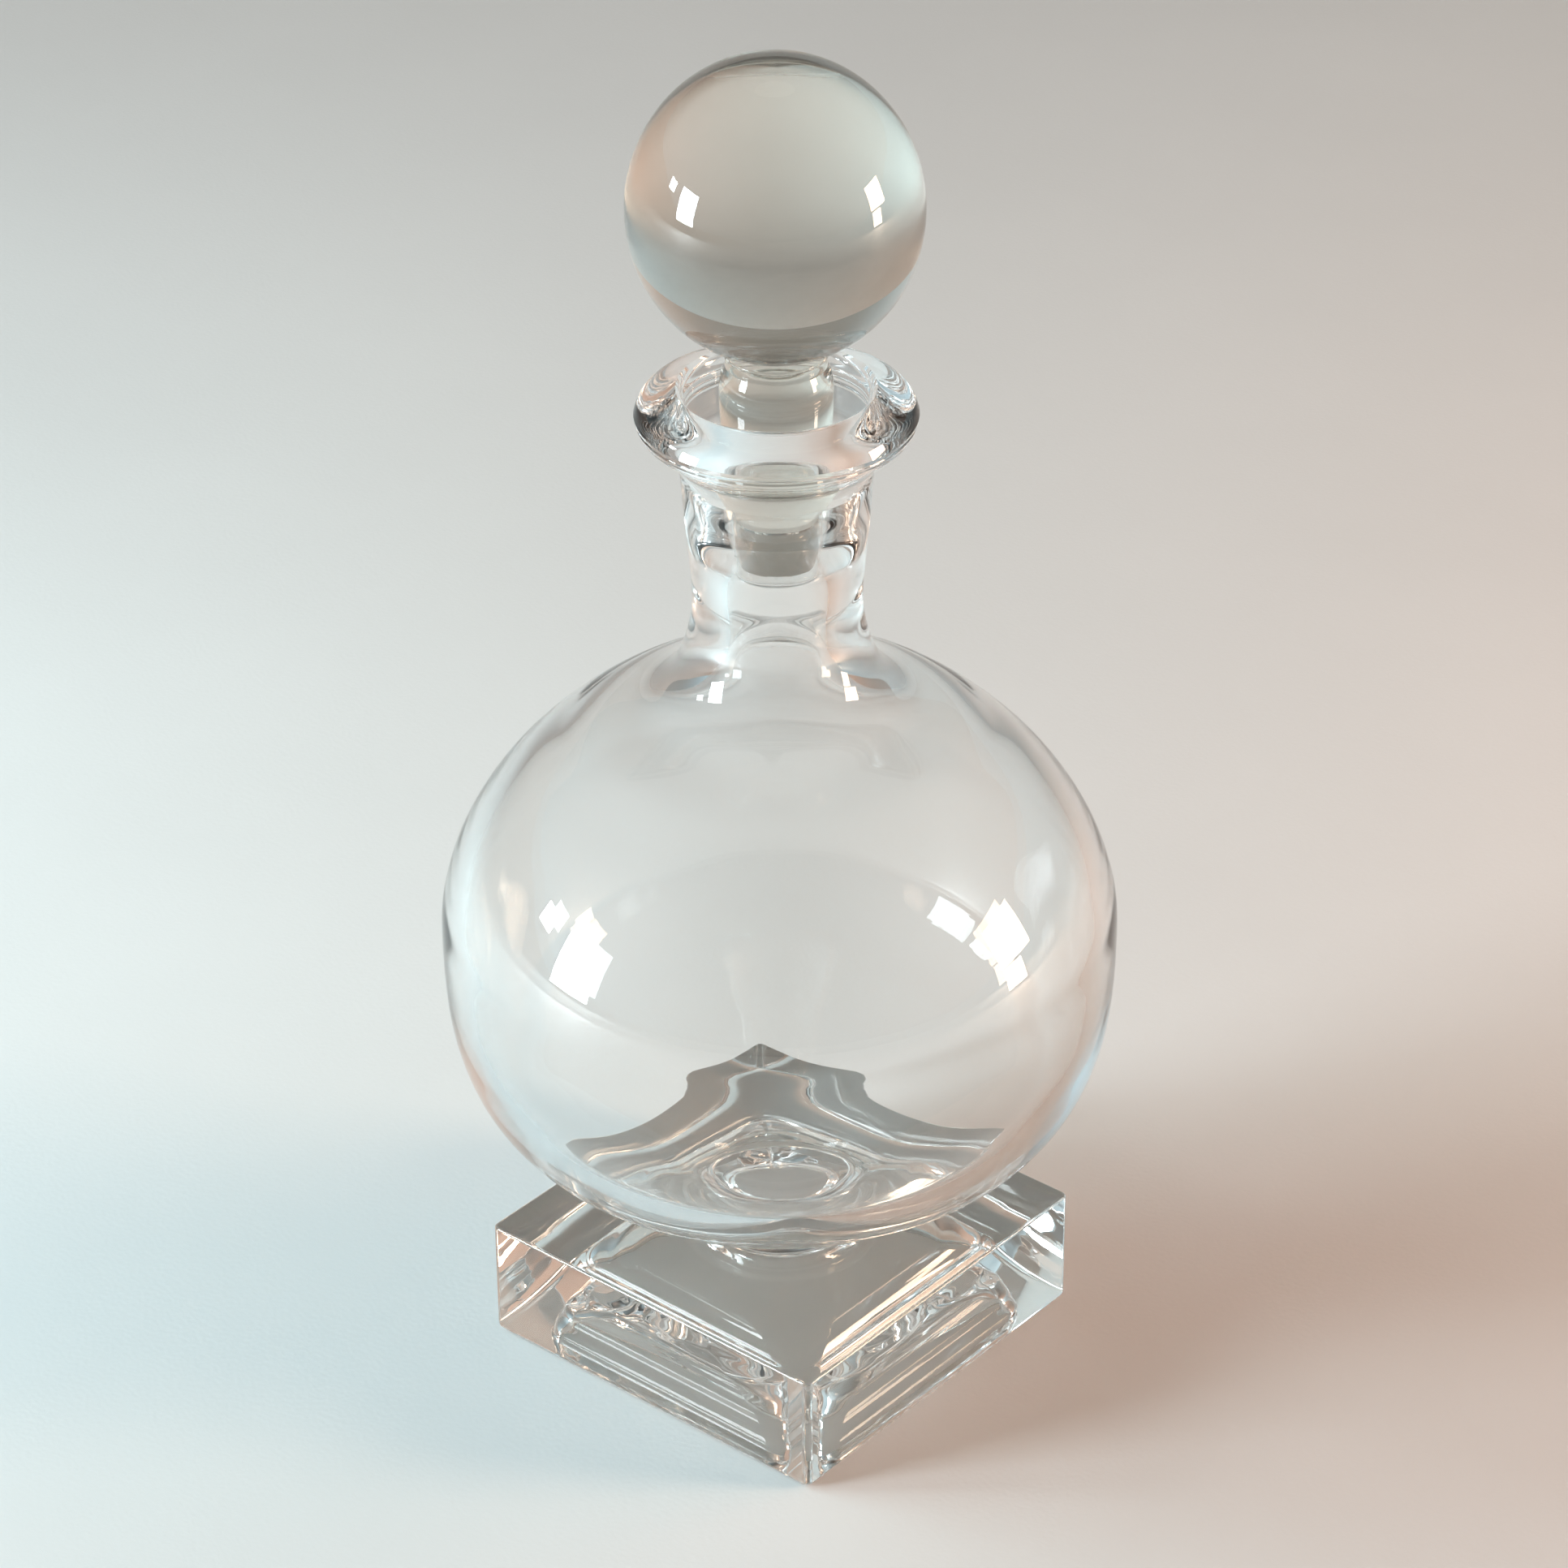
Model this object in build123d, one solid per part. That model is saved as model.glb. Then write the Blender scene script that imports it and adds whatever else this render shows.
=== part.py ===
"""Crystal wine decanter: a blown bulb on a pressed square base, with a ball stopper.

Millimetres, +Z up, the base's underside on Z = 0 and the round axis on X = Y = 0.
Every glass piece is its own closed solid; fused pieces meet on shared flat faces.
Profile points are (radius, height) pairs on the half-section of each turned piece.
"""
from build123d import *
import math
import os

# ---- pressed square base -------------------------------------------------
BASE_SIDE = 81.8
BASE_HEIGHT = 25.2
BASE_CORNER_R = 1.6
BASE_TOP_BEVEL = 0.7
BASE_FOOT_R = 1.5
# the hollow under the base narrows upwards: (side, corner radius, height) of each level
RECESS_LEVELS = [
    (62.4, 5.0, 0.0),
    (59.8, 5.4, 4.5),
    (53.0, 10.0, 9.4),
    (46.0, 14.0, 10.9),
    (36.0, 15.0, 12.2),
    (30.0, 14.4, 13.2),
]
# round dimple in the middle of the hollow's roof
DIMPLE_FOOT_R = 14.4
DIMPLE_TOP_R = 12.3
DIMPLE_TOP_Z = 17.0
DIMPLE_EDGE_R = 0.8

# ---- glass button that joins the bulb to the base ------------------------
BUTTON_TOP_Z = 28.3
BUTTON_TOP_R = 16.8
BUTTON_SIDE = [(15.4, 27.3), (15.3, 26.4), (16.6, 25.6)]
BUTTON_FOOT_R = 19.0

# ---- blown bulb ----------------------------------------------------------
BULB_R = 65.0
BULB_MID_Z = 95.9
BULB_UPPER_H = 55.1
BULB_UPPER_POWER = 1.755
BULB_LOWER_H = 53.8
BULB_LOWER_POWER = 3.06
BULB_WALL = 4.6
BULB_FLOOR_Z = 32.0
BOTTOM_OUTSIDE = [(20.0, 30.8), (24.0, 33.6), (33.0, 39.8), (42.0, 45.8)]
BOTTOM_INSIDE = [(38.0, 49.2), (28.0, 42.0), (18.0, 35.5), (9.0, 32.6)]
LOWER_STEPS = 6
UPPER_STEPS = 7
LOWER_LAST_SHARE = 0.55
UPPER_LAST_SHARE = 0.60

# ---- neck: outside of the shoulder, then inside of the shoulder -----------
NECK_TOP_Z = 190.0
NECK_TOP_R = 17.8
SHOULDER_OUTSIDE = [(30.1, 142.0), (26.0, 144.3), (22.4, 147.0), (19.6, 150.4), (17.9, 154.2)]
NECK_OUTSIDE = [(16.7, 158.6), (15.95, 164.0), (16.5, 174.0), (17.2, 182.0)]
SEAT_TOP_R = 14.7
BORE_MOUTH = [(13.3, 185.2), (11.7, 179.8), (10.3, 175.0)]
BORE = [(9.75, 171.2), (9.4, 166.0), (9.2, 161.0), (9.6, 155.5)]
SHOULDER_INSIDE = [(11.2, 151.3), (14.6, 146.6), (19.5, 142.4), (25.0, 139.0)]

# ---- lip ring ------------------------------------------------------------
LIP_INSIDE = [(15.9, 197.0), (16.8, 203.5)]
LIP_CREST = (18.4, 208.2)
LIP_TOP = [(21.8, 207.4), (24.8, 205.6)]
LIP_RIM = (26.1, 203.0)
LIP_UNDERSIDE = [(25.4, 200.7), (23.7, 198.9), (21.3, 197.0), (19.2, 195.0), (18.1, 192.5)]
LIP_GROOVE_R = 0.35
LIP_GROOVES = [(25.95, 201.9), (25.25, 200.4), (24.35, 199.35)]

# ---- stopper -------------------------------------------------------------
BALL_R = 27.0
BALL_HALF_H = 28.3
BALL_MID_Z = 243.4
COLLAR_R = 9.4
COLLAR_BOTTOM_Z = 212.9
COLLAR_GROOVE_R = 0.35
COLLAR_GROOVE_Z = 215.1
PLUG_SHOULDER = [(10.5, 207.2), (10.4, 209.6), (9.95, 211.6)]
PLUG_TIP_R = 9.6
PLUG_TIP_Z = 174.8
PLUG_TIP_BEVEL = 0.6


def path(*points):
    """Straight edges through the given (radius, height) points."""
    return [Line(a, b) for a, b in zip(points, points[1:])]


def lathe(edges):
    """Solid of revolution about Z from a closed half-section drawn as (radius, height)."""
    return Rot(90, 0, 0) * revolve(make_face(Wire(edges)), Axis.Y, 360)


def ring_groove(radius, height, groove_r):
    """Thin ring used as a cutter for one fine tooling line."""
    return Pos(0, 0, height) * Torus(radius, groove_r)


def bulb_point(share, half_height, power, wall):
    """Point on the bulb's curve; share 0 is the widest ring and 1 is the pole."""
    lean = share * math.pi / 2
    radius = (BULB_R - wall) * math.cos(lean) ** (2 / power)
    rise = (half_height - wall) * math.sin(lean) ** (2 / power)
    return radius, rise


def lower_points(wall):
    """Lower half of the bulb, from its widest ring down to where the bottom turns in."""
    points = []
    for step in range(LOWER_STEPS + 1):
        share = LOWER_LAST_SHARE * step / LOWER_STEPS
        radius, drop = bulb_point(share, BULB_LOWER_H, BULB_LOWER_POWER, wall)
        points.append((radius, BULB_MID_Z - drop))
    return points


def upper_points(wall):
    """Upper half of the bulb, from above its widest ring up to the shoulder."""
    points = []
    for step in range(1, UPPER_STEPS + 1):
        share = UPPER_LAST_SHARE * step / UPPER_STEPS
        radius, rise = bulb_point(share, BULB_UPPER_H, BULB_UPPER_POWER, wall)
        points.append((radius, BULB_MID_Z + rise))
    return points


def square_base():
    block = extrude(RectangleRounded(BASE_SIDE, BASE_SIDE, BASE_CORNER_R), BASE_HEIGHT)
    block = chamfer(block.faces().sort_by(Axis.Z)[-1].edges(), BASE_TOP_BEVEL)
    block = fillet(block.faces().sort_by(Axis.Z)[0].edges(), BASE_FOOT_R)
    recess = loft([Pos(0, 0, z) * RectangleRounded(side, side, r) for side, r, z in RECESS_LEVELS])
    roof_z = RECESS_LEVELS[-1][2]
    dimple = Pos(0, 0, (roof_z + DIMPLE_TOP_Z) / 2) * Cone(
        DIMPLE_FOOT_R, DIMPLE_TOP_R, DIMPLE_TOP_Z - roof_z
    )
    dimple = fillet(dimple.edges().sort_by(Axis.Z)[-1], DIMPLE_EDGE_R)
    return block - recess - dimple


def foot_button():
    foot = (BUTTON_FOOT_R, BASE_HEIGHT)
    top = (BUTTON_TOP_R, BUTTON_TOP_Z)
    side = Spline(top, *BUTTON_SIDE, foot, tangents=[(-0.8, -1), (1, -0.1)])
    return lathe(path(foot, (0, BASE_HEIGHT), (0, BUTTON_TOP_Z), top) + [side])


def flask():
    foot = (BUTTON_TOP_R, BUTTON_TOP_Z)
    rim = (NECK_TOP_R, NECK_TOP_Z)
    seat = (SEAT_TOP_R, NECK_TOP_Z)
    floor = (0, BULB_FLOOR_Z)
    outside = [foot] + BOTTOM_OUTSIDE + lower_points(0)[::-1] + upper_points(0)
    outside += SHOULDER_OUTSIDE + NECK_OUTSIDE + [rim]
    inside = [seat] + BORE_MOUTH + BORE + SHOULDER_INSIDE + upper_points(BULB_WALL)[::-1]
    inside += lower_points(BULB_WALL) + BOTTOM_INSIDE + [floor]
    wall_out = Spline(*outside, tangents=[(1, 0.8), (0.08, 1)])
    wall_in = Spline(*inside, tangents=[(-0.4, -1), (-1, 0)])
    return lathe([wall_out, wall_in] + path(rim, seat) + path(floor, (0, BUTTON_TOP_Z), foot))


def lip_ring():
    rim = (NECK_TOP_R, NECK_TOP_Z)
    seat = (SEAT_TOP_R, NECK_TOP_Z)
    mouth = Spline(seat, *LIP_INSIDE, LIP_CREST, tangents=[(0.4, 1), (1, 0)])
    dome = Spline(LIP_CREST, *LIP_TOP, LIP_RIM, tangents=[(1, 0), (0, -1)])
    under = Spline(LIP_RIM, *LIP_UNDERSIDE, rim, tangents=[(0, -1), (-0.05, -1)])
    ring = lathe([mouth, dome, under] + path(rim, seat))
    for radius, height in LIP_GROOVES:
        ring -= ring_groove(radius, height, LIP_GROOVE_R)
    return ring


def collar_top_z():
    """Height where the ball has narrowed to the collar."""
    return BALL_MID_Z - BALL_HALF_H * math.sqrt(1 - (COLLAR_R / BALL_R) ** 2)


def stopper_ball():
    start_deg = math.degrees(math.asin((collar_top_z() - BALL_MID_Z) / BALL_HALF_H))
    skin = EllipticalCenterArc(
        (0, BALL_MID_Z), BALL_R, BALL_HALF_H, start_angle=start_deg, arc_size=90 - start_deg
    )
    top = (0, BALL_MID_Z + BALL_HALF_H)
    return lathe([skin] + path(top, (0, collar_top_z()), (COLLAR_R, collar_top_z())))


def stopper_collar():
    height = collar_top_z() - COLLAR_BOTTOM_Z
    collar = Pos(0, 0, COLLAR_BOTTOM_Z + height / 2) * Cylinder(COLLAR_R, height)
    return collar - ring_groove(COLLAR_R, COLLAR_GROOVE_Z, COLLAR_GROOVE_R)


def stopper_plug():
    tip = (PLUG_TIP_R, PLUG_TIP_Z + PLUG_TIP_BEVEL)
    neck = (COLLAR_R, COLLAR_BOTTOM_Z)
    shoulder = Spline(*PLUG_SHOULDER, neck)
    flat_edge = (PLUG_TIP_R - PLUG_TIP_BEVEL, PLUG_TIP_Z)
    outline = path(neck, (0, COLLAR_BOTTOM_Z), (0, PLUG_TIP_Z), flat_edge, tip, PLUG_SHOULDER[0])
    return lathe(outline + [shoulder])


os.makedirs("parts", exist_ok=True)
PIECES = {
    "square_base": square_base,
    "foot_button": foot_button,
    "flask": flask,
    "lip_ring": lip_ring,
    "stopper_ball": stopper_ball,
    "stopper_collar": stopper_collar,
    "stopper_plug": stopper_plug,
}
for name, make in PIECES.items():
    piece = make()
    solids = piece.solids()
    print(name, len(solids), round(piece.volume), piece.is_valid)
    export_step(solids[0], f"parts/{name}.step")
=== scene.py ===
"""Looks of the crystal wine decanter: seven glass pieces on a pale sweep in soft window light.

Profile points are (radius, height) pairs in millimetres, as in the part's own drawing; the
places where pieces meet, and the outer sizes, are read from the frame.
"""

import math

import bmesh
import bpy
import numpy as np
from mathutils import Matrix, Vector


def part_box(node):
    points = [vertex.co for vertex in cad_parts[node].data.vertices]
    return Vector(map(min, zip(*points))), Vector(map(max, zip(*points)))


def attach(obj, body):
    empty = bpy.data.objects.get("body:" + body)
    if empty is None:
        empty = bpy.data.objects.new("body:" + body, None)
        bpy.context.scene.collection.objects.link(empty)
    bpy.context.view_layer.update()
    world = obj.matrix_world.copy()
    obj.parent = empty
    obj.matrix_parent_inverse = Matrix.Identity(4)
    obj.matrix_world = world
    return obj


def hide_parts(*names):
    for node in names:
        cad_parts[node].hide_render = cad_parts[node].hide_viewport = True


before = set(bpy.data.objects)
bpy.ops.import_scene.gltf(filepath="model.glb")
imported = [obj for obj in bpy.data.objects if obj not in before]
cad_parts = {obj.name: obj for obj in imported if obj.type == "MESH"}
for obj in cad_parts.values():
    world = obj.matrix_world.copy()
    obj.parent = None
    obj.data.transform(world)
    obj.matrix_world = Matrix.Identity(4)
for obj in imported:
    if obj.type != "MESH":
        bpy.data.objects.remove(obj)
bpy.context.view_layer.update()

MM = 0.001
AROUND = 192
STEP_MM = 0.95
SKIN, JOINT = 0, 1
GLASS_BOUNCES = 32
SHARP_EDGE = math.radians(28)
BEVEL_STEPS = 4
FOOT_STEPS = 8
COLLAR_STEPS = 40
BALL_STEPS = 100
GROOVE_CUTS = 4


def top_mm(node):
    """Height of a node's highest point, in millimetres."""
    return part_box(node)[1].z / MM


def low_mm(node):
    """Height of a node's lowest point, in millimetres."""
    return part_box(node)[0].z / MM


def half_mm(node):
    """Half the width of a node, in millimetres."""
    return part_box(node)[1].x / MM


# ---- shapes --------------------------------------------------------------
BASE_CORNER_R = 1.6
BASE_TOP_BEVEL = 0.7
BASE_FOOT_R = 1.5
BASE_FOOT_CORNER_LOSS = 0.6
RECESS_LEVELS = [
    (31.2, 5.0, 0.0),
    (29.9, 5.4, 4.5),
    (26.5, 10.0, 9.4),
    (23.0, 14.0, 10.9),
    (18.0, 15.0, 12.2),
    (15.0, 14.4, 13.2),
    (13.4, 13.3, 15.0),
    (12.3, 12.2, 16.6),
    (11.9, 11.8, 17.0),
]
RECESS_WAVE_SHARE = 0.013
# weight, waves round the recess, and radians of turn per ring of each set of ripples
RECESS_WAVES = [(0.6, 4, 0.8), (0.4, 9, -1.3)]
BUTTON_SIDE = [(15.4, 27.3), (15.3, 26.4), (16.6, 25.6)]
BUTTON_TOP_R = 16.8
BULB_R = 65.0
BULB_MID_Z = 95.9
BULB_UPPER_H = 55.1
BULB_UPPER_POWER = 1.755
BULB_LOWER_H = 53.8
BULB_LOWER_POWER = 3.06
BULB_WALL = 4.6
BULB_FLOOR_Z = 32.0
BOTTOM_OUTSIDE = [(20.0, 30.8), (24.0, 33.6), (33.0, 39.8), (42.0, 45.8)]
BOTTOM_INSIDE = [(38.0, 49.2), (28.0, 42.0), (18.0, 35.5), (9.0, 32.6)]
LOWER_STEPS = 6
UPPER_STEPS = 7
LOWER_LAST_SHARE = 0.55
UPPER_LAST_SHARE = 0.60
NECK_TOP_R = 17.8
SHOULDER_OUTSIDE = [(30.1, 142.0), (26.0, 144.3), (22.4, 147.0), (19.6, 150.4), (17.9, 154.2)]
NECK_OUTSIDE = [(16.7, 158.6), (15.95, 164.0), (16.5, 174.0), (17.2, 182.0)]
SEAT_TOP_R = 14.7
BORE_MOUTH = [(13.3, 185.2), (11.7, 179.8), (10.3, 175.0)]
BORE = [(9.75, 171.2), (9.4, 166.0), (9.2, 161.0), (9.6, 155.5)]
SHOULDER_INSIDE = [(11.2, 151.3), (14.6, 146.6), (19.5, 142.4), (25.0, 139.0)]
LIP_INSIDE = [(15.9, 197.0), (16.8, 203.5), (17.4, 207.2)]
LIP_CREST = (18.4, 208.2)
LIP_TOP = [(21.8, 207.4), (24.8, 205.6)]
LIP_RIM = (26.1, 203.0)
LIP_UNDERSIDE = [(25.4, 200.7), (23.7, 198.9), (21.3, 197.0), (19.2, 195.0), (18.1, 192.5)]
LIP_GROOVES = [(25.95, 201.9), (25.25, 200.4), (24.35, 199.35)]
GROOVE_R = 0.35
COLLAR_R = 9.4
COLLAR_GROOVE_Z = 215.1
PLUG_SHOULDER = [(10.5, 207.2), (10.4, 209.6), (9.95, 211.6)]
PLUG_TIP_R = 9.6
PLUG_TIP_BEVEL = 0.6


# ---- curves --------------------------------------------------------------
def smooth(points):
    """Points of a C2 cubic through the given (radius, height) points, about STEP_MM apart."""
    knots = np.array(points, float)
    gaps = np.sqrt(np.linalg.norm(np.diff(knots, axis=0), axis=1))
    count = len(knots)
    system = np.zeros((count, count))
    wanted = np.zeros_like(knots)
    system[0, :2] = 2, 1
    wanted[0] = 3 * (knots[1] - knots[0]) / gaps[0]
    system[-1, -2:] = 1, 2
    wanted[-1] = 3 * (knots[-1] - knots[-2]) / gaps[-1]
    for i in range(1, count - 1):
        before, after = gaps[i - 1], gaps[i]
        system[i, i - 1 : i + 2] = after, 2 * (before + after), before
        rise_before = after * (knots[i] - knots[i - 1]) / before
        rise_after = before * (knots[i + 1] - knots[i]) / after
        wanted[i] = 3 * (rise_before + rise_after)
    slopes = np.linalg.solve(system, wanted)
    out = []
    for i, gap in enumerate(gaps):
        pieces = max(2, math.ceil(gap * gap / STEP_MM))
        for t in np.arange(pieces) / pieces:
            start = knots[i] * (2 * t**3 - 3 * t**2 + 1) + slopes[i] * gap * (t**3 - 2 * t**2 + t)
            end = knots[i + 1] * (3 * t**2 - 2 * t**3) + slopes[i + 1] * gap * (t**3 - t**2)
            out.append(tuple(start + end))
    out.append(tuple(knots[-1]))
    return out


def bulb_point(share, half_height, power, wall):
    """Point on the bulb's curve; share 0 is the widest ring and 1 is the pole."""
    lean = share * math.pi / 2
    radius = (BULB_R - wall) * math.cos(lean) ** (2 / power)
    rise = (half_height - wall) * math.sin(lean) ** (2 / power)
    return radius, rise


def lower_points(wall):
    """Lower half of the bulb, from its widest ring down to where the bottom turns in."""
    points = []
    for step in range(LOWER_STEPS + 1):
        share = LOWER_LAST_SHARE * step / LOWER_STEPS
        radius, drop = bulb_point(share, BULB_LOWER_H, BULB_LOWER_POWER, wall)
        points.append((radius, BULB_MID_Z - drop))
    return points


def upper_points(wall):
    """Upper half of the bulb, from above its widest ring up to the shoulder."""
    points = []
    for step in range(1, UPPER_STEPS + 1):
        share = UPPER_LAST_SHARE * step / UPPER_STEPS
        radius, rise = bulb_point(share, BULB_UPPER_H, BULB_UPPER_POWER, wall)
        points.append((radius, BULB_MID_Z + rise))
    return points


# ---- meshes --------------------------------------------------------------
def circle(radius, height):
    """Ring of points round the axis, in metres; one point when the radius is zero."""
    if radius < 1e-6:
        return [(0, 0, height * MM)]
    turns = [2 * math.pi * i / AROUND for i in range(AROUND)]
    return [(radius * MM * math.cos(a), radius * MM * math.sin(a), height * MM) for a in turns]


def rounded_square(half, corner_r, height):
    """Ring of points on a rounded square, in step with circle()."""
    per_corner = AROUND // 4
    corner_r = min(corner_r, half * 0.999)
    ring = []
    for quarter in range(4):
        cx = (half - corner_r) * (1 if quarter in (0, 3) else -1)
        cy = (half - corner_r) * (1 if quarter in (0, 1) else -1)
        for i in range(per_corner):
            turn = (quarter + i / per_corner) * math.pi / 2
            x, y = cx + corner_r * math.cos(turn), cy + corner_r * math.sin(turn)
            ring.append((x * MM, y * MM, height * MM))
    return ring


def rippled(ring, level):
    """The same ring with the shallow waves that pressing leaves in the hollow's skin."""
    out = []
    for x, y, z in ring:
        around = math.atan2(y, x)
        wave = sum(w * math.sin(count * around + shift * level) for w, count, shift in RECESS_WAVES)
        size = 1 + RECESS_WAVE_SHARE * wave
        out.append((x * size, y * size, z))
    return out


def closed_mesh(name, bands):
    """Closed mesh from a chain of rings; bands is a list of (ring, material of the next band)."""
    mesh = bpy.data.meshes.new(name)
    bm = bmesh.new()
    rings = [[bm.verts.new(p) for p in ring] for ring, _ in bands]
    kinds = [kind for _, kind in bands]
    pairs = list(zip(rings, rings[1:], kinds))
    if len(rings[0]) > 1:
        pairs.append((rings[-1], rings[0], kinds[-1]))
    for low, high, kind in pairs:
        for i in range(AROUND):
            j = (i + 1) % AROUND
            if len(low) == 1:
                face = bm.faces.new((low[0], high[j], high[i]))
            elif len(high) == 1:
                face = bm.faces.new((low[i], low[j], high[0]))
            else:
                face = bm.faces.new((low[i], low[j], high[j], high[i]))
            face.material_index = kind
            face.smooth = True
    bmesh.ops.recalc_face_normals(bm, faces=bm.faces)
    bm.to_mesh(mesh)
    bm.free()
    mesh.set_sharp_from_angle(angle=SHARP_EDGE)
    return mesh


def turned(name, stretches):
    """Closed solid of revolution; stretches is a list of (points, SKIN or JOINT), end to end."""
    bands = []
    for points, kind in stretches:
        bands += [(circle(r, z), kind) for r, z in points[:-1]]
    radius, height = stretches[-1][0][-1]
    if radius < 1e-6:
        bands.append((circle(radius, height), SKIN))
    return closed_mesh(name, bands)


def fine(points):
    """The same outline with each step cut up, so that it can hold a fine groove."""
    out = []
    for (r0, z0), (r1, z1) in zip(points, points[1:]):
        for share in np.arange(GROOVE_CUTS) / GROOVE_CUTS:
            out.append((r0 + (r1 - r0) * share, z0 + (z1 - z0) * share))
    return out + [points[-1]]


def grooved(points, grooves):
    """The same outline with a fine round-bottomed line cut in at each groove's place."""
    out = []
    line = np.array(points)
    ahead = np.gradient(line, axis=0)
    inward = np.stack([-ahead[:, 1], ahead[:, 0]], 1)
    inward /= np.linalg.norm(inward, axis=1)[:, None]
    for point, way in zip(line, inward):
        near = min(np.linalg.norm(point - np.array(g)) for g in grooves)
        depth = math.sqrt(max(0.0, GROOVE_R**2 - near**2))
        out.append(tuple(point + way * depth))
    return out


def square_base_mesh():
    """Pressed square base, hollowed from below by a rippled recess with a dimple at its top."""
    half = half_mm("square_base")
    top = top_mm("square_base")
    levels = [(0.01, 0.01, RECESS_LEVELS[-1][2])] + RECESS_LEVELS[::-1]
    bands = [(circle(0, RECESS_LEVELS[-1][2]), SKIN)]
    recess = smooth(levels)[1:]
    for level, (side, corner_r, height) in enumerate(recess):
        ring = rounded_square(side, corner_r, height)
        last = level == len(recess) - 1
        bands.append((ring if last else rippled(ring, level), SKIN))
    for i in range(FOOT_STEPS + 1):
        turn = math.pi / 2 * i / FOOT_STEPS
        out = half - BASE_FOOT_R * (1 - math.sin(turn))
        corner = BASE_CORNER_R - BASE_FOOT_CORNER_LOSS * (1 - math.sin(turn))
        bands.append((rounded_square(out, corner, BASE_FOOT_R * (1 - math.cos(turn))), SKIN))
    for i in range(BEVEL_STEPS + 1):
        turn = math.pi / 2 * i / BEVEL_STEPS
        inset = BASE_TOP_BEVEL * (1 - math.cos(turn))
        height = top - BASE_TOP_BEVEL * (1 - math.sin(turn))
        bands.append((rounded_square(half - inset, BASE_CORNER_R - inset, height), SKIN))
    bands.append((circle(half_mm("foot_button"), top), JOINT))
    bands.append((circle(0, top), SKIN))
    return closed_mesh("square_base_crystal", bands)


def foot_button_mesh():
    """Waisted glass button between the base and the bulb."""
    low, top = low_mm("foot_button"), top_mm("foot_button")
    side = smooth([(half_mm("foot_button"), low)] + BUTTON_SIDE[::-1] + [(BUTTON_TOP_R, top)])
    return turned(
        "foot_button_crystal",
        [([(0, low), side[0]], JOINT), (side, SKIN), ([side[-1], (0, top)], JOINT)],
    )


def flask_mesh():
    """Blown bulb and neck, open down the bore to the inside of the bulb."""
    low, top = low_mm("flask"), top_mm("flask")
    outside = [(BUTTON_TOP_R, low)] + BOTTOM_OUTSIDE + lower_points(0)[::-1] + upper_points(0)
    outside += SHOULDER_OUTSIDE + NECK_OUTSIDE + [(NECK_TOP_R, top)]
    inside = [(SEAT_TOP_R, top)] + BORE_MOUTH + BORE + SHOULDER_INSIDE
    inside += upper_points(BULB_WALL)[::-1]
    inside += lower_points(BULB_WALL) + BOTTOM_INSIDE + [(0, BULB_FLOOR_Z)]
    return turned(
        "flask_crystal",
        [
            ([(0, low), outside[0]], JOINT),
            (smooth(outside), SKIN),
            ([outside[-1], inside[0]], JOINT),
            (smooth(inside), SKIN),
        ],
    )


def lip_ring_mesh():
    """Everted lip with fine lines round its underside."""
    low = low_mm("lip_ring")
    under = fine(smooth([(NECK_TOP_R, low)] + LIP_UNDERSIDE[::-1] + [LIP_RIM]))
    under[1:-1] = grooved(under, LIP_GROOVES)[1:-1]
    dome = smooth([LIP_RIM] + LIP_TOP[::-1] + [LIP_CREST])
    mouth = smooth([LIP_CREST] + LIP_INSIDE[::-1] + [(SEAT_TOP_R, low)])
    seat = [(SEAT_TOP_R, low), (NECK_TOP_R, low)]
    return turned("lip_ring_crystal", [(under, SKIN), (dome, SKIN), (mouth, SKIN), (seat, JOINT)])


def stopper_ball_mesh():
    """Ball of the stopper, cut flat where it meets the collar."""
    radius = half_mm("stopper_ball")
    low, top = low_mm("stopper_ball"), top_mm("stopper_ball")
    half_height = (top - low) / (1 + math.sqrt(1 - (COLLAR_R / radius) ** 2))
    middle = top - half_height
    first = math.asin((low - middle) / half_height)
    skin = []
    for i in range(BALL_STEPS + 1):
        turn = first + (math.pi / 2 - first) * i / BALL_STEPS
        skin.append((radius * math.cos(turn), middle + half_height * math.sin(turn)))
    skin[-1] = (0, top)
    return turned("stopper_ball_crystal", [([(0, low), skin[0]], JOINT), (skin, SKIN)])


def stopper_collar_mesh():
    """Straight collar under the ball, with one fine line round it."""
    low, top = low_mm("stopper_collar"), top_mm("stopper_collar")
    heights = np.linspace(low, top, COLLAR_STEPS)
    side = [(COLLAR_R, z) for z in heights]
    side = grooved(side, [(COLLAR_R, COLLAR_GROOVE_Z)])
    side[0], side[-1] = (COLLAR_R, low), (COLLAR_R, top)
    return turned(
        "stopper_collar_crystal",
        [([(0, low), side[0]], JOINT), (side, SKIN), ([side[-1], (0, top)], JOINT)],
    )


def stopper_plug_mesh():
    """Tapered plug with a bevelled tip and a rounded shoulder."""
    low, top = low_mm("stopper_plug"), top_mm("stopper_plug")
    tip = (PLUG_TIP_R, low + PLUG_TIP_BEVEL)
    flat_edge = (PLUG_TIP_R - PLUG_TIP_BEVEL, low)
    shoulder = smooth(PLUG_SHOULDER + [(COLLAR_R, top)])
    taper = [tip, PLUG_SHOULDER[0]]
    return turned(
        "stopper_plug_crystal",
        [
            ([(0, low), flat_edge], SKIN),
            ([flat_edge, tip], SKIN),
            (taper, SKIN),
            (shoulder, SKIN),
            ([shoulder[-1], (0, top)], JOINT),
        ],
    )


# ---- materials -----------------------------------------------------------
def node(tree, kind, **inputs):
    """Adds a shader node and sets its input sockets by name."""
    made = tree.nodes.new(kind)
    for socket, value in inputs.items():
        made.inputs[socket.replace("_", " ")].default_value = value
    return made


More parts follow.
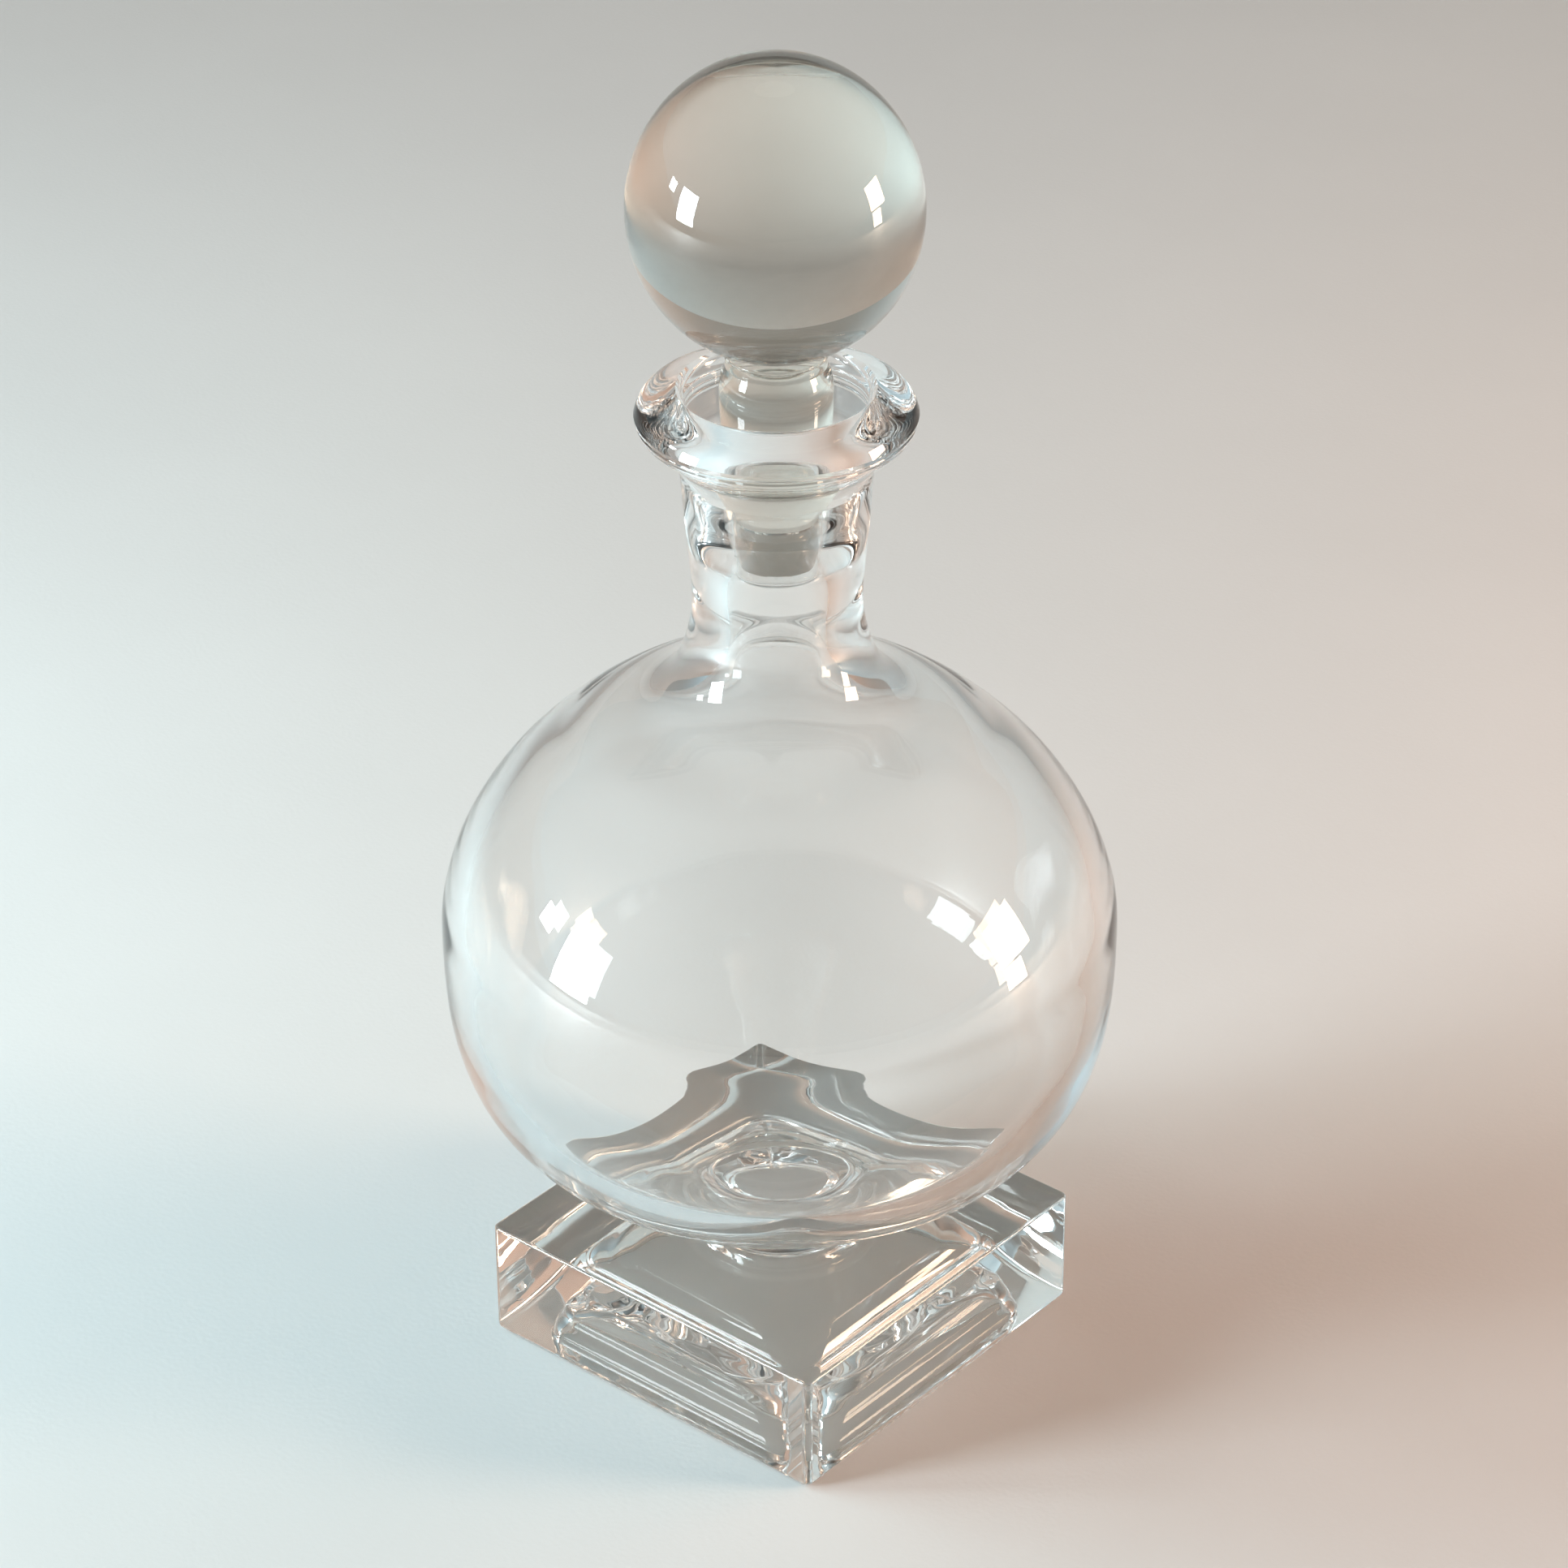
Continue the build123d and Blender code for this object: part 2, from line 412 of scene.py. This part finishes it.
def crystal(name, tint, ripple_mm, ripple_height_mm, smear):
    """Clear crystal: slow ripples of the worked surface and faint smears in its polish."""
    material = bpy.data.materials.new(name)
    material.use_nodes = True
    tree = material.node_tree
    glass = tree.nodes["Principled BSDF"]
    glass.inputs["Base Color"].default_value = (*tint, 1)
    glass.inputs["Transmission Weight"].default_value = 1.0
    glass.inputs["IOR"].default_value = 1.54
    place = tree.nodes.new("ShaderNodeTexCoord")
    ripple = node(tree, "ShaderNodeTexNoise", Scale=1000 / ripple_mm, Detail=1.5, Roughness=0.4)
    tree.links.new(place.outputs["Object"], ripple.inputs["Vector"])
    bump = node(tree, "ShaderNodeBump", Strength=1.0, Distance=ripple_height_mm * MM)
    tree.links.new(ripple.outputs["Fac"], bump.inputs["Height"])
    tree.links.new(bump.outputs["Normal"], glass.inputs["Normal"])
    smears = node(tree, "ShaderNodeTexNoise", Scale=55, Detail=6, Roughness=0.6)
    tree.links.new(place.outputs["Object"], smears.inputs["Vector"])
    polish = tree.nodes.new("ShaderNodeMapRange")
    polish.inputs["From Min"].default_value = 0.55
    polish.inputs["From Max"].default_value = 0.8
    polish.inputs["To Max"].default_value = smear
    tree.links.new(smears.outputs["Fac"], polish.inputs["Value"])
    tree.links.new(polish.outputs["Result"], glass.inputs["Roughness"])
    return material


def fused_face():
    """Face where two pieces of glass are fused: there is no surface, so light goes straight on."""
    material = bpy.data.materials.new("fused_glass_face")
    material.use_nodes = True
    tree = material.node_tree
    tree.nodes.clear()
    clear = node(tree, "ShaderNodeBsdfTransparent")
    out = tree.nodes.new("ShaderNodeOutputMaterial")
    tree.links.new(clear.outputs["BSDF"], out.inputs["Surface"])
    return material


def paper():
    """Pale seamless paper with a faint mottle and fibre."""
    material = bpy.data.materials.new("sweep_paper")
    material.use_nodes = True
    tree = material.node_tree
    shader = tree.nodes["Principled BSDF"]
    place = tree.nodes.new("ShaderNodeTexCoord")
    mottle = node(tree, "ShaderNodeTexNoise", Scale=6, Detail=5, Roughness=0.55)
    tree.links.new(place.outputs["Object"], mottle.inputs["Vector"])
    ramp = tree.nodes.new("ShaderNodeValToRGB")
    ramp.color_ramp.elements[0].color = (0.71, 0.71, 0.70, 1)
    ramp.color_ramp.elements[1].color = (0.80, 0.80, 0.79, 1)
    tree.links.new(mottle.outputs["Fac"], ramp.inputs["Fac"])
    tree.links.new(ramp.outputs["Color"], shader.inputs["Base Color"])
    shader.inputs["Roughness"].default_value = 0.65
    fibre = node(tree, "ShaderNodeTexNoise", Scale=900, Detail=3)
    tree.links.new(place.outputs["Object"], fibre.inputs["Vector"])
    bump = node(tree, "ShaderNodeBump", Strength=0.2, Distance=0.0002)
    tree.links.new(fibre.outputs["Fac"], bump.inputs["Height"])
    tree.links.new(bump.outputs["Normal"], shader.inputs["Normal"])
    return material


# ---- camera --------------------------------------------------------------
CAMERA_PLACE_MM = Vector((546.8, -646.7, 629.5))
CAMERA_TURN = math.radians(40.148)
CAMERA_TILT = math.radians(30.831)
CAMERA_ROLL = math.radians(-0.317)
CAMERA_LENS = 119.25


def add_camera():
    """Camera above the lip's height, turned round from the front, tilted down and rolled a touch."""
    data = bpy.data.cameras.new("camera")
    data.sensor_width = 36
    data.lens = CAMERA_LENS
    data.clip_start = 0.01
    camera = bpy.data.objects.new("camera", data)
    bpy.context.scene.collection.objects.link(camera)
    level = Vector((math.cos(CAMERA_TURN), math.sin(CAMERA_TURN), 0))
    back = Vector((level.y, -level.x, math.tan(CAMERA_TILT))).normalized()
    right = level * math.cos(CAMERA_ROLL) + back.cross(level) * math.sin(CAMERA_ROLL)
    camera.matrix_world = Matrix((right, back.cross(right), back)).transposed().to_4x4()
    camera.matrix_world.translation = CAMERA_PLACE_MM * MM
    bpy.context.scene.camera = camera


VIEW_TURN = math.atan2(CAMERA_PLACE_MM.x, -CAMERA_PLACE_MM.y)
TO_CAMERA = Vector((math.sin(VIEW_TURN), -math.cos(VIEW_TURN), 0))
TO_RIGHT = Vector((math.cos(VIEW_TURN), math.sin(VIEW_TURN), 0))


def stage_point(right, toward, up):
    """Point of the studio, in metres right of, toward the camera from, and above the base."""
    return TO_RIGHT * right + TO_CAMERA * toward + Vector((0, 0, up))


# ---- stage and light -----------------------------------------------------
AIR_GAP = 0.0003
FLOOR_R = 1.4
SWEEP_R = 2.4
SWEEP_H = 0.8
OPEN_SIDE_REACH = 2.5
SWEEP_AROUND = 96
SWEEP_STEPS = 16
# cosines of the angle from the camera's side: where the wall begins, and how far it takes to rise
WALL_END = 0.6
WALL_FADE = 0.9
WALL_BASE = (0.035, 0.033, 0.028)
WALL_GLOWS = [
    (stage_point(-1, 0.1, 0.25).normalized(), 2.5, (0.66, 0.90, 1.00)),
    (stage_point(1, 0.0, 0.25).normalized(), 2.5, (0.72, 0.46, 0.34)),
    (stage_point(0, -1, 0.25).normalized(), 3, (0.25, 0.24, 0.22)),
]
# name, studio point, size, watts, colour and aim of each window light
WINDOWS = [
    ("left_window", (-1.5, 0.50, 0.42), (0.44, 0.54), 29, (0.84, 0.95, 1.0), (0, 0, 0.12)),
    ("left_pane", (-1.5, 0.00, 0.55), (0.18, 0.16), 4, (0.90, 0.98, 1.0), (0, 0, 0.12)),
    ("right_window", (1.5, 0.15, 0.46), (0.40, 0.38), 14, (1.0, 0.72, 0.52), (0, 0, 0.12)),
    ("right_pane", (1.5, 0.22, 0.14), (0.22, 0.22), 4, (1.0, 0.80, 0.62), (0, 0, 0.12)),
]
# the same for the washes of light on the paper; they make no highlights on the glass
WASHES = [
    ("left_wash", (-0.55, -0.10, 0.38), (0.34, 0.30), 2.1, (0.62, 0.93, 1.0), (-0.24, -0.10, 0)),
    ("right_wash", (0.57, -0.10, 0.38), (0.34, 0.30), 0.8, (1.0, 0.40, 0.22), (0.26, -0.10, 0)),
]


def wall_share(direction):
    """How much of the backdrop's wall stands this way: all of it behind, none by the camera."""
    share = min(1, max(0, (WALL_END - direction.dot(TO_CAMERA)) / WALL_FADE))
    return share * share * (3 - 2 * share)


def add_sweep():
    """Pale sweep: a floor that curves up into a backdrop behind and beside the decanter."""
    mesh = bpy.data.meshes.new("sweep")
    bm = bmesh.new()
    turns = [2 * math.pi * i / SWEEP_AROUND for i in range(SWEEP_AROUND)]
    ways = [Vector((math.cos(a), math.sin(a), 0)) for a in turns]
    loops = []
    for i in range(SWEEP_STEPS + 1):
        turn = math.pi / 2 * i / SWEEP_STEPS
        loop = []
        for way in ways:
            wall = wall_share(way)
            reach = (SWEEP_R - FLOOR_R) * (1 + OPEN_SIDE_REACH * (1 - wall))
            place = way * (FLOOR_R + reach * math.sin(turn))
            place.z = SWEEP_H * wall * (1 - math.cos(turn)) - AIR_GAP
            loop.append(bm.verts.new(place))
        loops.append(loop)
    bm.faces.new(loops[0])
    for low, high in zip(loops, loops[1:]):
        for i in range(SWEEP_AROUND):
            j = (i + 1) % SWEEP_AROUND
            bm.faces.new((low[i], high[i], high[j], low[j])).smooth = True
    bm.to_mesh(mesh)
    bm.free()
    mesh.materials.append(paper())
    sweep = bpy.data.objects.new("sweep", mesh)
    bpy.context.scene.collection.objects.link(sweep)


def add_panel(name, place, size, watts, colour, aim_at, highlights):
    """Rectangular soft light at one studio point, turned to another."""
    data = bpy.data.lights.new(name, "AREA")
    data.shape = "RECTANGLE"
    data.size, data.size_y = size
    data.energy = watts
    data.color = colour
    light = bpy.data.objects.new(name, data)
    bpy.context.scene.collection.objects.link(light)
    light.location = stage_point(*place)
    aim = (stage_point(*aim_at) - light.location).normalized()
    light.rotation_euler = aim.to_track_quat("-Z", "Y").to_euler()
    light.visible_camera = False
    light.visible_glossy = highlights
    light.visible_transmission = highlights


def shaded_side(tree, direction, way, power):
    """Lobe of the studio's walls: 1 straight towards the given way, fading round to 0."""
    along = tree.nodes.new("ShaderNodeVectorMath")
    along.operation = "DOT_PRODUCT"
    along.inputs[1].default_value = way
    tree.links.new(direction, along.inputs[0])
    facing = tree.nodes.new("ShaderNodeClamp")
    tree.links.new(along.outputs["Value"], facing.inputs["Value"])
    lobe = tree.nodes.new("ShaderNodeMath")
    lobe.operation = "POWER"
    lobe.inputs[1].default_value = power
    tree.links.new(facing.outputs["Result"], lobe.inputs[0])
    return lobe.outputs["Value"]


def add_world():
    """Soft studio walls: dim warm grey, bright and cool on the left, warm on the right."""
    world = bpy.data.worlds.new("studio")
    world.use_nodes = True
    tree = world.node_tree
    place = tree.nodes.new("ShaderNodeTexCoord")
    colour = None
    for way, power, glow in WALL_GLOWS:
        lobe = shaded_side(tree, place.outputs["Generated"], way, power)
        add = tree.nodes.new("ShaderNodeMix")
        add.data_type = "RGBA"
        add.blend_type = "ADD"
        tree.links.new(lobe, add.inputs["Factor"])
        if colour is None:
            add.inputs["A"].default_value = (*WALL_BASE, 1)
        else:
            tree.links.new(colour, add.inputs["A"])
        add.inputs["B"].default_value = (*glow, 1)
        colour = add.outputs["Result"]
    tree.links.new(colour, tree.nodes["Background"].inputs["Color"])
    bpy.context.scene.world = world


# ---- build ---------------------------------------------------------------
add_camera()
add_sweep()
add_world()
for panel in WINDOWS:
    add_panel(*panel, highlights=True)
for panel in WASHES:
    add_panel(*panel, highlights=False)

blown = crystal("blown_crystal_glass", (0.985, 0.992, 0.99), 24, 0.05, 0.05)
pressed = crystal("pressed_crystal_glass", (0.94, 0.935, 0.91), 14, 0.05, 0.06)
cut = crystal("stopper_crystal_glass", (0.84, 0.82, 0.76), 20, 0.03, 0.04)
joint = fused_face()

PIECES = [
    ("square_base", "vessel", "pressed_crystal", pressed, square_base_mesh),
    ("foot_button", "vessel", "pressed_crystal", pressed, foot_button_mesh),
    ("flask", "vessel", "blown_crystal", blown, flask_mesh),
    ("lip_ring", "vessel", "blown_crystal", blown, lip_ring_mesh),
    ("stopper_ball", "stopper", "stopper_crystal", cut, stopper_ball_mesh),
    ("stopper_collar", "stopper", "stopper_crystal", cut, stopper_collar_mesh),
    ("stopper_plug", "stopper", "stopper_crystal", cut, stopper_plug_mesh),
]
for cad_node, body, slot, material, make in PIECES:
    mesh = make()
    mesh.materials.append(material)
    mesh.materials.append(joint)
    piece = bpy.data.objects.new(mesh.name, mesh)
    bpy.context.scene.collection.objects.link(piece)
    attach(piece, body)
    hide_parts(cad_node)

scene = bpy.context.scene
scene.view_settings.view_transform = "Standard"
scene.cycles.max_bounces = GLASS_BOUNCES
scene.cycles.transmission_bounces = GLASS_BOUNCES
scene.cycles.glossy_bounces = GLASS_BOUNCES
scene.cycles.transparent_max_bounces = GLASS_BOUNCES
